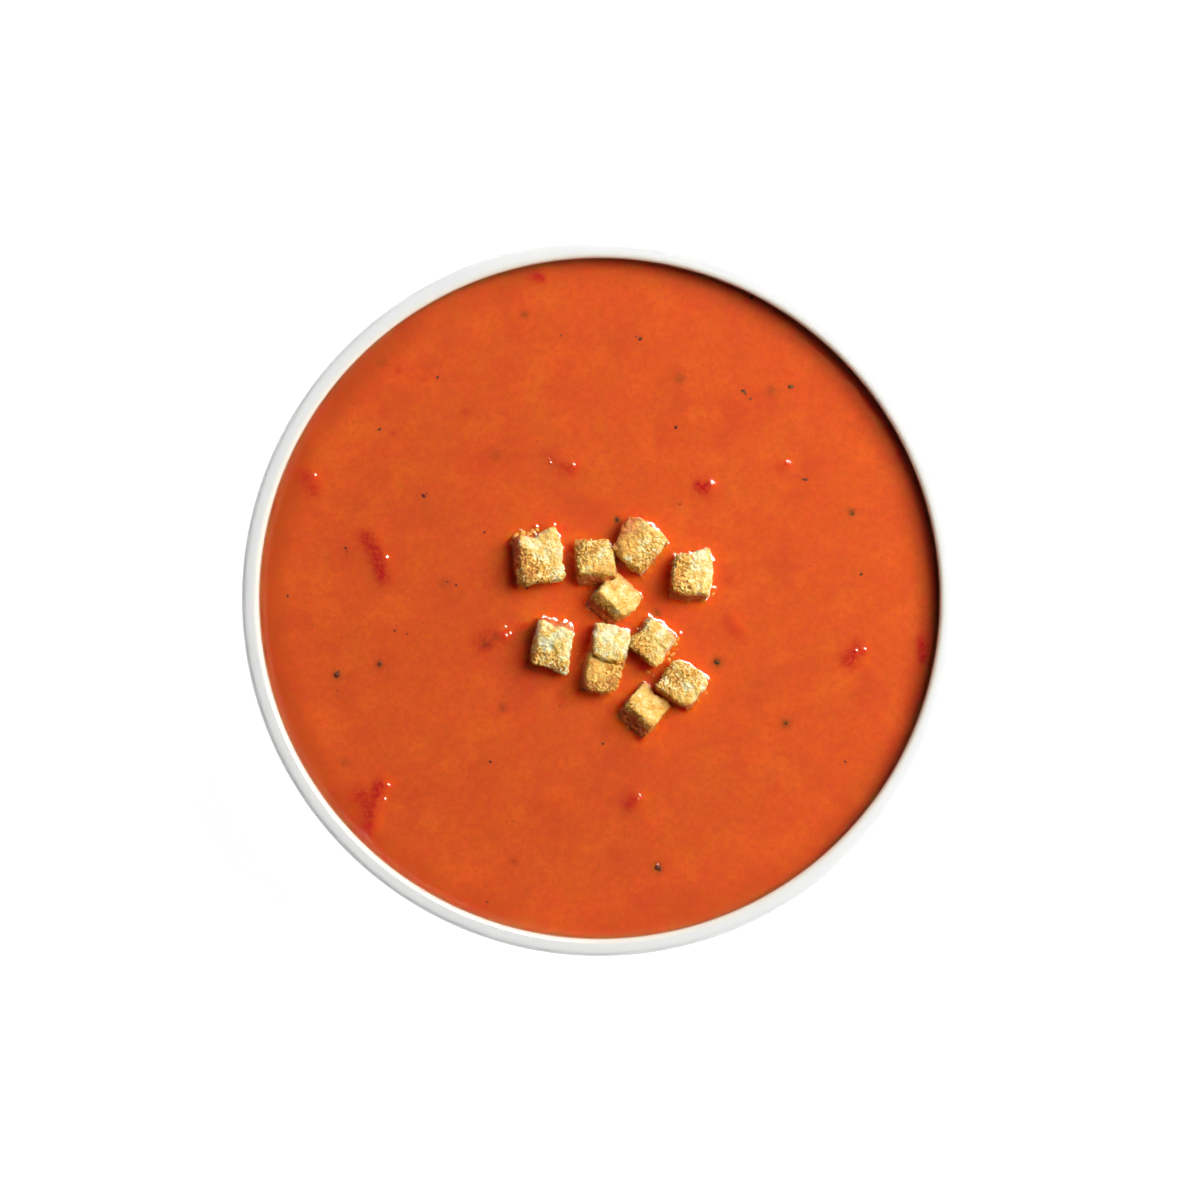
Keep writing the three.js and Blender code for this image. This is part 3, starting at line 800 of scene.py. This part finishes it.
def soup_material():
    material, tree, shader, where = new_material(
        "creamy tomato soup", Roughness=0.1, Subsurface_Weight=1.0, Subsurface_Radius=(1.0, 0.05, 0.6),
        Subsurface_Scale=3.4 * MM,
    )
    height, radius = place_of(tree, where)
    # Slow clouds of lighter and darker soup, with a fine mottle over them.
    flat = vector(tree, "MULTIPLY", where, (1, 1, 0.2))
    colour = blend(tree, noise(tree, flat, 9 * MM, 2).ramp(0.45, 0.7), SOUP, SOUP_LIGHT)
    colour = blend(tree, noise(tree, flat, 13 * MM, 3, 0.6).ramp(0.5, 0.72, 0, 0.8), colour, SOUP_DARK)
    mottle = noise(tree, flat, 1.3 * MM, 4, 0.8)
    colour = blend(tree, mottle.ramp(0.4, 0.7, 0, 0.75), colour, SOUP_DARK)
    colour = blend(tree, mottle.ramp(0.48, 0.3, 0, 0.6), colour, SOUP_LIGHT)
    # Painted shade in a patchy band by the wall, most on the left, and bright orange round the bread: oil
    # with a painted glow of light thrown back from the bread.
    left = parts(tree, where)[0].ramp(0, -0.9 * inner_radius)
    patches = noise(tree, where, 16 * MM).ramp(0.3, 0.6, 0.3, 0.55)
    wall_shade = radius.ramp(inner_radius - 9 * MM, inner_radius) * (left * 0.5 + patches)
    colour = blend(tree, wall_shade, colour, WALL_PAINTED_SHADE)
    uneven = noise(tree, flat, 1.8 * MM, 3).ramp(0.35, 0.6, 0.5, 1.15)
    colour = blend(tree, attribute(tree, "beside_bread") * uneven, colour, SOUP_OIL_AND_GLOW)
    # Specks, what shows through from under the skin, a painted glow of light on the lit side of the tomato
    # pieces, and the thin edge at the wall.
    for spacing, size, share, shown in SPECKS:
        spread = parts(tree, cells(tree, flat, spacing, "Color"))[0].ramp(share, 1, 0, size)
        speck = Field(tree, cells(tree, flat, spacing)).ramp(spread, spread * 0.3)
        colour = blend(tree, speck * shown, colour, SPECK_RED)
    cloud = noise(tree, flat, 0.9 * MM, 4, 0.7).ramp(0.3, 0.62, 0.35, 1)
    for name, tint, shown in (("gold", SOUP_OIL_AND_GLOW, 0.6), ("red", TOMATO_RED, 1.1), ("herb", SUNK_HERB, 1.4)):
        colour = blend(tree, attribute(tree, name) * cloud * shown, colour, tint)
    edge = radius.ramp(inner_radius - 1.0 * MM, inner_radius - 0.1 * MM)
    edge = edge * noise(tree, where, 6 * MM).ramp(0.3, 0.7)
    colour = blend(tree, edge, colour, SOUP_EDGE)
    join(tree, shader.inputs["Base Color"], colour)
    bump(tree, shader, mottle, 0.02 * MM)
    return material


all_bread = bmesh.new()
for crouton in croutons:
    all_bread.from_mesh(crouton.data)
bread_mesh = bpy.data.meshes.new("all_bread")
all_bread.to_mesh(bread_mesh)
all_bread.free()
bread_guide = bpy.data.objects.new("all_bread", bread_mesh)
bpy.context.scene.collection.objects.link(bread_guide)

soup_mesh = cut_for_croutons(soup_base())
corners = np.empty(len(soup_mesh.vertices) * 3)
soup_mesh.vertices.foreach_get("co", corners)
corners = corners.reshape(-1, 3)[:, :2]
# The tomato's red is moved to the side away from the light, as painted shade, and a painted glow of light
# lies on the side towards it.
light_side = np.array((0.45, 0.2)) * MM  # the red shows on the side away from the light, and gold towards it
lift = np.zeros(len(corners))
red = np.zeros(len(corners))
gold = np.zeros(len(corners))
herb = np.zeros(len(corners))
for thickness, width, redness, along in TOMATO_STROKES:
    along = stroke_points(along)
    width = width * STAIN_SPREAD * MM
    lift = (lift**3 + (thickness * SWELL * MM * nearness(corners, along, width)) ** 3) ** (1 / 3)
    red = np.maximum(red, redness * nearness(corners + light_side, along, width))
    gold = np.maximum(gold, thickness * nearness(corners - light_side * 3, along, width))
for x, y, width in BEADS:
    lift += width * BEAD_FULLNESS * MM * nearness(corners, np.array([(x, y)]) * MM, width * MM)
for x, y, width, shown in SUNK_TOMATO:
    red = np.maximum(red, shown * nearness(corners, np.array([(x, y)]) * MM, width * MM))
for x, y, width, shown in SUNK_HERBS:
    herb = np.maximum(herb, shown * nearness(corners, np.array([(x, y)]) * MM, width * MM))
for name, values in (("lift", lift), ("red", red), ("gold", gold), ("herb", herb)):
    set_attribute(soup_mesh, name, values)

soup_values = {
    "Bread": bread_guide, "Bread rise": BREAD_RISE, "Bread reach": BREAD_RISE_REACH,
    "Wall radius": inner_radius, "Wall drop": WALL_DROP, "Wall reach": WALL_REACH,
    "Wave height": WAVE_HEIGHT, "Finish": soup_material(),
}
soup = new_piece("tomato_soup", grown_mesh(soup_mesh, soup_tree(), **soup_values), "soup", slot="soup")
bpy.data.objects.remove(bread_guide)

# ------------------------------------------------------------------------- pepper, herbs and crumbs
# Ground black pepper, dried herb leaf, paprika grains and crumbs of bread, lying in the soup's skin. Each
# kind is one mesh: a small shape is set down at every place of a list, sized and turned, laid on the soup
# and made uneven, so that no two are alike.


def small_shape(name, size, bend=0.0, detail=1):
    """A closed flake about 1 across, to be set down many times."""
    shape = bmesh.new()
    bmesh.ops.create_icosphere(shape, subdivisions=detail, radius=0.5)
    for corner in shape.verts:
        corner.co = Vector((corner.co.x * size[0], corner.co.y * size[1], corner.co.z * size[2]))
        corner.co.z += bend * corner.co.x**2
    mesh = bpy.data.meshes.new(name)
    shape.to_mesh(mesh)
    shape.free()
    item = bpy.data.objects.new(name, mesh)
    bpy.context.scene.collection.objects.link(item)
    return item


def scatter_tree():
    """Sets a shape down at each point, on the soup, by the attributes "size" and "turn"."""
    tree, given = geometry_tree(
        "Set down on soup", Shape="Object", Soup="Object", Sink="Float", Uneven="Float", Finish="Material"
    )
    where = add(tree, "GeometryNodeInputPosition").outputs[0]
    soup_surface = add(tree, "GeometryNodeObjectInfo", {"Object": given["Soup"]}).outputs["Geometry"]
    drop = add(tree, "GeometryNodeRaycast", {"Target Geometry": soup_surface, "Source Position": where})
    drop.inputs["Ray Direction"].default_value = (0, 0, -1)
    sunk = add(tree, "ShaderNodeCombineXYZ", {"Z": given["Sink"] * -1}).outputs[0]
    lying = vector(tree, "ADD", drop.outputs["Hit Position"], sunk)
    points = add(tree, "GeometryNodeSetPosition", {"Geometry": given["Geometry"], "Position": lying})
    size, turn = (
        add(tree, "GeometryNodeInputNamedAttribute", {"Name": name}, data_type="FLOAT_VECTOR").outputs[0]
        for name in ("size", "turn")
    )
    shape = add(tree, "GeometryNodeObjectInfo", {"Object": given["Shape"]}).outputs["Geometry"]
    placing = {"Points": points.outputs[0], "Instance": shape, "Scale": size}
    set_down = add(tree, "GeometryNodeInstanceOnPoints", placing)
    rotation = add(tree, "FunctionNodeEulerToRotation", {"Euler": turn}).outputs[0]
    join(tree, set_down.inputs["Rotation"], rotation)
    real = add(tree, "GeometryNodeRealizeInstances", {"Geometry": set_down.outputs[0]}).outputs[0]
    pushed = add(tree, "ShaderNodeVectorMath", operation="SCALE")
    join(tree, pushed.inputs[0], stirring(tree, where, 0.6 * MM))
    join(tree, pushed.inputs["Scale"], given["Uneven"])
    rough = add(tree, "GeometryNodeSetPosition", {"Geometry": real, "Offset": pushed.outputs[0]}).outputs[0]
    close_tree(tree, rough, given["Finish"])
    return tree


def set_down(name, rows, shape, sink, uneven, material, slot):
    """One mesh of small things. Each row is x, y, length, width and thickness in millimetres, and a turn."""
    rows = np.array(rows, float)
    mesh = bpy.data.meshes.new(name)
    above = bowl_corner.z
    mesh.from_pydata([(x * MM, y * MM, above) for x, y in rows[:, :2]], [], [])
    set_attribute(mesh, "size", rows[:, 2:5] * MM, "FLOAT_VECTOR")
    tilt = np.zeros((len(rows), 3))
    tilt[:, 0] = np.sin(rows[:, 5] * 7) * 0.25
    tilt[:, 1] = np.cos(rows[:, 5] * 5) * 0.25
    tilt[:, 2] = np.radians(rows[:, 5])
    set_attribute(mesh, "turn", tilt, "FLOAT_VECTOR")
    values = {"Shape": shape, "Soup": soup, "Sink": sink * MM, "Uneven": uneven * MM, "Finish": material}
    return new_piece(name, grown_mesh(mesh, set_down_tree, **values), slot=slot)


def flake_material(name, dark, light, roughness):
    material, tree, shader, where = new_material(name, Roughness=roughness, Specular_IOR_Level=0.15)
    grain = noise(tree, where, 0.35 * MM, 3)
    join(tree, shader.inputs["Base Color"], blend(tree, grain.ramp(0.4, 0.68), dark, light))
    bump(tree, shader, grain, 0.05 * MM)
    return material


PEPPER = [
    (9.7, 61.9, 1.3, 1.1, 0.6, 20), (8.7, 62.4, 0.6, 0.5, 0.4, 70), (18.2, 40.8, 1.1, 0.9, 0.5, 60),
    (36.3, 71.7, 1.2, 0.9, 0.5, 80), (-52.4, 40.3, 1.1, 0.9, 0.5, 10), (-41.9, 24.4, 1.4, 0.9, 0.5, -45),
    (-60.5, 12.0, 0.8, 0.7, 0.4, 0), (-60.1, 11.2, 0.4, 0.4, 0.3, 0), (-36.2, 3.9, 0.9, 0.5, 0.4, 30),
    (-34.1, 3.2, 0.8, 0.6, 0.4, 10), (-62.6, -18.2, 1.6, 1.4, 0.8, 45), (-62.6, -22.0, 0.5, 0.5, 0.3, 0),
    (-52.4, -15.6, 1.3, 1.0, 0.6, 90), (-48.8, -7.7, 0.8, 0.6, 0.4, 50), (-45.8, -8.4, 0.7, 0.5, 0.4, 20),
    (-27.4, 15.8, 0.7, 0.6, 0.4, 15), (19.2, 22.5, 0.7, 0.6, 0.4, 35), (48.9, 28.4, 2.0, 0.8, 0.4, -8),
    (62.4, 5.8, 1.0, 0.8, 0.4, 40), (58.6, -38.9, 0.8, 0.6, 0.4, 0), (13.9, -64.1, 1.8, 1.3, 0.7, -20),
    (-26.7, -72.4, 0.8, 0.6, 0.4, 10), (-26.0, -38.9, 1.0, 0.8, 0.4, -30), (-9.1, 62.7, 0.8, 0.6, 0.3, 60),
    (-38.6, 52.7, 0.9, 0.8, 0.5, 70), (-74.3, 0.6, 0.9, 0.6, 0.4, 100), (4.2, 18.7, 1.3, 0.9, 0.5, 100),
    (-17.2, 2.5, 1.1, 0.6, 0.4, 25), (0.9, -34.6, 1.0, 0.7, 0.4, 0), (-9.4, -25.6, 0.6, 0.5, 0.3, 0),
]
HERBS = [
    (45.8, 50.3, 2.1, 1.3, 0.5, -25), (34.4, 49.1, 1.9, 1.3, 0.5, -50), (36.0, 47.6, 1.0, 0.7, 0.4, 40),
    (28.2, -15.1, 2.0, 1.3, 0.6, -10), (14.6, -64.6, 1.2, 0.9, 0.4, 30), (60.3, 20.2, 1.1, 0.9, 0.4, 40),
    (44.6, -29.6, 1.2, 0.9, 0.4, 35), (-41.2, 25.0, 0.8, 0.5, 0.3, 15), (-62.0, -17.4, 0.7, 0.5, 0.3, 0),
]
CRUMBS = [
    (-20.6, 13.2, 2.0, 1.5, 1.4, 10), (-19.9, 14.7, 2.0, 1.5, 1.3, 60), (-18.3, 15.2, 2.2, 1.6, 1.4, 100),
    (-16.9, 15.3, 1.9, 1.5, 1.3, 30), (-15.8, 16.0, 1.7, 1.3, 1.2, 0), (-14.9, 16.4, 1.2, 1.0, 1.0, 40),
    (16.4, -10.2, 2.1, 1.5, 1.3, 0), (18.0, -10.9, 1.6, 1.2, 1.1, 20), (18.7, -9.6, 1.0, 0.8, 0.7, 70),
    (15.9, -12.9, 1.9, 1.4, 1.3, 0), (17.5, -13.3, 1.6, 1.1, 1.0, 30), (16.6, -14.6, 1.4, 1.0, 0.9, 0),
    (18.6, -12.2, 0.8, 0.7, 0.6, 0), (22.0, -24.8, 1.6, 1.1, 1.0, 45), (23.3, -24.1, 0.9, 0.7, 0.6, 0),
    (25.6, -22.4, 0.9, 0.7, 0.7, 0), (-9.0, 6.6, 0.9, 0.6, 0.6, 30), (-9.3, 10.4, 0.8, 0.6, 0.6, 10),
    (26.8, 7.9, 0.9, 0.6, 0.6, 0), (27.0, 1.2, 1.3, 0.9, 0.8, 45), (11.7, -17.6, 1.4, 0.8, 0.7, -20),
    (13.0, -18.3, 0.8, 0.7, 0.6, 70), (-5.1, -13.2, 0.7, 0.6, 0.6, 0), (-22.6, -8.6, 0.5, 0.5, 0.4, 0),
]
PAPRIKA_GRAINS = 320
PAPRIKA_SEED = 11


def paprika_rows():
    """Grains strewn over the whole soup, with none in the croutons or on the wall."""
    draw = np.random.default_rng(PAPRIKA_SEED)
    rows = []
    while len(rows) < PAPRIKA_GRAINS:
        x, y = draw.uniform(-79, 79, 2)
        near_bread = waterline_tree.find((x * MM, y * MM, 0))[2] < 1.5 * MM
        among_bread = abs(x - 3) < 20 and abs(y + 6) < 22
        if math.hypot(x, y) < 78.5 and not near_bread and not among_bread:
            size = 0.16 + 0.3 * draw.random() ** 3
            rows.append((x, y, size, size * 0.8, size * 0.6, draw.uniform(0, 180)))
    return rows


set_down_tree = scatter_tree()
chip = small_shape("chip", (1, 1, 1))
leaf = small_shape("leaf", (1, 1, 0.3), bend=0.5)
crust_crumb = small_shape("crust_crumb", (1, 1, 1), detail=2)
pepper_black = flake_material("black pepper", (0.06, 0.012, 0.006), (0.24, 0.05, 0.015), 0.6)
herb_green = flake_material("dried herb", (0.075, 0.032, 0.008), (0.22, 0.105, 0.022), 0.5)
paprika_red = flake_material("paprika", (0.20, 0.012, 0.006), (0.38, 0.035, 0.012), 0.35)
wet_crumb = flake_material("soaked crumb", (0.80, 0.26, 0.03), (0.92, 0.50, 0.11), 0.3)
set_down("pepper_flakes", PEPPER, chip, 0, 0.35, pepper_black, "soup")
set_down("herb_flakes", HERBS, leaf, 0.02, 0.3, herb_green, "soup")
set_down("bread_crumbs", CRUMBS, crust_crumb, 0.25, 1.0, wet_crumb, "bread")
set_down("paprika_grains", paprika_rows(), chip, 0.05, 0.1, paprika_red, "soup")
for shape in (chip, leaf, crust_crumb):
    bpy.data.objects.remove(shape)

# --------------------------------------------------------------------------- floor, light and camera
# A plain white table that glows a little, so that it stays white, one large soft light from the right, and
# a room that is dim above and white low down. The camera looks straight down from far above.

FLOOR_SIZE = 3.0
LIGHT_DISTANCE = 0.9
LIGHT_AIM = Vector((15 * MM, 25 * MM, soup_level))
SKY_ABOVE = 0.01
SKY_LOW = 3
SKY_LOW_END = 0.12  # the sine of the height at which the white has faded
CAMERA_HEIGHT = 1.5
FRAME_WIDTH = 1200 * 0.2378 * MM  # what the picture takes in at the lip's height
FRAME_MIDDLE = (0.14 * MM, -0.36 * MM)
SENSOR = 36.0

floor_mesh = bpy.data.meshes.new("table")
half = FLOOR_SIZE / 2
floor_corners = [(-half, -half, 0), (half, -half, 0), (half, half, 0), (-half, half, 0)]
floor_mesh.from_pydata(floor_corners, [], [(0, 1, 2, 3)])
floor = bpy.data.objects.new("table", floor_mesh)
bpy.context.scene.collection.objects.link(floor)
table_white, tree, shader, where = new_material("white table", Roughness=0.6, Emission_Strength=0.97)
cloud = noise(tree, where, 0.3)
join(tree, shader.inputs["Base Color"], blend(tree, cloud, (0.12, 0.12, 0.12), (0.14, 0.14, 0.14)))
join(tree, shader.inputs["Emission Color"], (1, 1, 1, 1))
floor_mesh.materials.append(table_white)

world = bpy.data.worlds.new("white room")
world.use_nodes = True
background = world.node_tree.nodes["Background"]
background.inputs["Color"].default_value = (1, 1, 1, 1)
height, _ = place_of(world.node_tree, add(world.node_tree, "ShaderNodeTexCoord").outputs["Generated"])
join(world.node_tree, background.inputs["Strength"], height.ramp(0.04, SKY_LOW_END, SKY_LOW, SKY_ABOVE))
bpy.context.scene.world = world


def softbox(name, turn, height, width, tall, power):
    """A rectangular light that shines down on the soup from that turn and height, in degrees."""
    data = bpy.data.lights.new(name, "AREA")
    data.shape = "RECTANGLE"
    data.size, data.size_y, data.energy = width, tall, power
    turn, height = math.radians(turn), math.radians(height)
    level = math.cos(height)
    away = Vector((level * math.cos(turn), level * math.sin(turn), math.sin(height)))
    light = bpy.data.objects.new(name, data)
    light.location = LIGHT_AIM + away * LIGHT_DISTANCE
    light.rotation_euler = away.to_track_quat("Z", "Y").to_euler()
    bpy.context.scene.collection.objects.link(light)
    return light


# The large light gives the soft shadows, and the small one only the glints on wet edges.
large = softbox("large softbox", turn=25, height=50, width=0.52, tall=0.70, power=13.3)
large.visible_glossy = False
glint = softbox("glint softbox", turn=50, height=56, width=0.62, tall=0.24, power=30)
glint.visible_diffuse = False

camera_data = bpy.data.cameras.new("camera")
camera_data.sensor_width = SENSOR
camera_data.lens = SENSOR * CAMERA_HEIGHT / FRAME_WIDTH
camera_data.clip_end = 10
camera = bpy.data.objects.new("camera", camera_data)
camera.location = (*FRAME_MIDDLE, shoulder + CAMERA_HEIGHT)
bpy.context.scene.collection.objects.link(camera)
bpy.context.scene.camera = camera
bpy.context.scene.view_settings.view_transform = "Standard"
